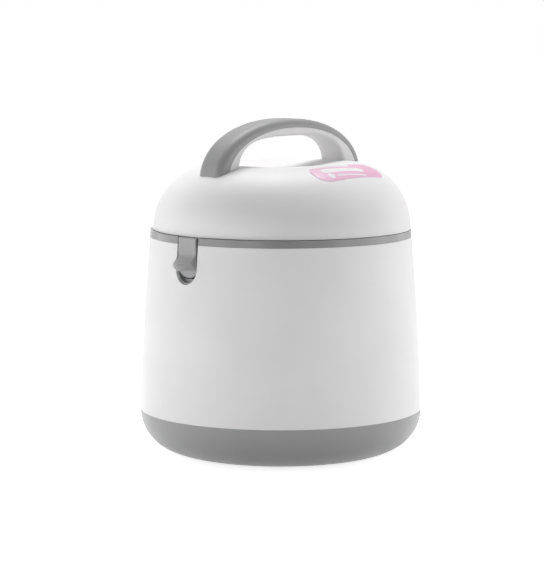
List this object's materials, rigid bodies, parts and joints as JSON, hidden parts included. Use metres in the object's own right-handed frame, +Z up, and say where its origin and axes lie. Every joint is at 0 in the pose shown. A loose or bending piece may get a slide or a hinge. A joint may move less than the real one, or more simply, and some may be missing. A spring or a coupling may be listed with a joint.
{
  "type": "thermal cooker",
  "caption": "Vacuum-insulated thermal cooker: a domed lid hinged at the back, with a carrying handle and a spring latch, over a lidded steel cooking pot.",
  "frame": {"origin": "on the cooker's upright axis, in the plane its feet stand on", "axes": "+Z up, +Y from the latch at the front to the hinge at the back, +X to the right of someone who faces the latch"},
  "size_m": [0.272, 0.2798, 0.3224],
  "materials": {
    "white_plastic": "satin",
    "grey_plastic": "satin",
    "dark_grey_plastic": "matte",
    "black_plastic": "satin",
    "rubber": "matte",
    "silicone": "matte",
    "foam": "matte",
    "label": "gloss",
    "steel": "satin",
    "disc_steel": "matte",
    "screw_steel": "satin"
  },
  "bodies": {
    "body": {"base_cover": "grey_plastic", "foot_1": "rubber", "foot_2": "rubber", "foot_3": "rubber", "foot_4": "rubber", "base_screw_1": "screw_steel", "base_screw_2": "screw_steel", "base_screw_3": "screw_steel", "base_screw_4": "screw_steel", "vessel_support": "black_plastic", "vessel_outer": "steel", "vessel_inner": "steel", "outer_shell": "white_plastic", "rim_ring": "grey_plastic", "latch_pocket": "grey_plastic", "hinge_pin": "steel", "latch_pin": "steel", "latch_spring": "steel", "inner_pot": "steel", "pot_base_disc": "disc_steel", "pot_ear_right": "steel", "pot_ear_left": "steel", "pot_rivet_1": "steel", "pot_rivet_2": "steel", "pot_rivet_3": "steel", "pot_rivet_4": "steel", "pot_bail": "steel", "pot_lid": "steel", "pot_lid_knob": "black_plastic", "pot_lid_screw": "screw_steel"},
    "lid": {"lid_cover": "white_plastic", "lid_liner": "dark_grey_plastic", "lid_foam": "foam", "lid_gasket": "silicone", "lid_screw_1": "screw_steel", "lid_screw_2": "screw_steel", "lid_screw_3": "screw_steel", "lid_screw_4": "screw_steel", "lid_catch": "grey_plastic", "catch_screw_1": "screw_steel", "catch_screw_2": "screw_steel", "handle_core": "white_plastic", "handle_cover": "grey_plastic", "handle_screw_1": "screw_steel", "handle_screw_2": "screw_steel", "handle_screw_3": "screw_steel", "handle_screw_4": "screw_steel", "lid_label": "label"},
    "latch": {"latch_lever": "grey_plastic"}
  },
  "joints": [
    {"name": "lid_hinge", "type": "hinge", "parent": "body", "child": "lid", "pos_m": [0, 0.133, 0.213], "axis": [-1, 0, 0], "range_deg": [0, 95]},
    {"name": "latch_pivot", "type": "hinge", "parent": "body", "child": "latch", "pos_m": [0, -0.1205, 0.192], "axis": [1, 0, 0], "range_deg": [0, 12], "stiffness_Nm_per_rad": 0.15, "springref_deg": -5.73, "deforming": ["latch_spring"]}
  ]
}
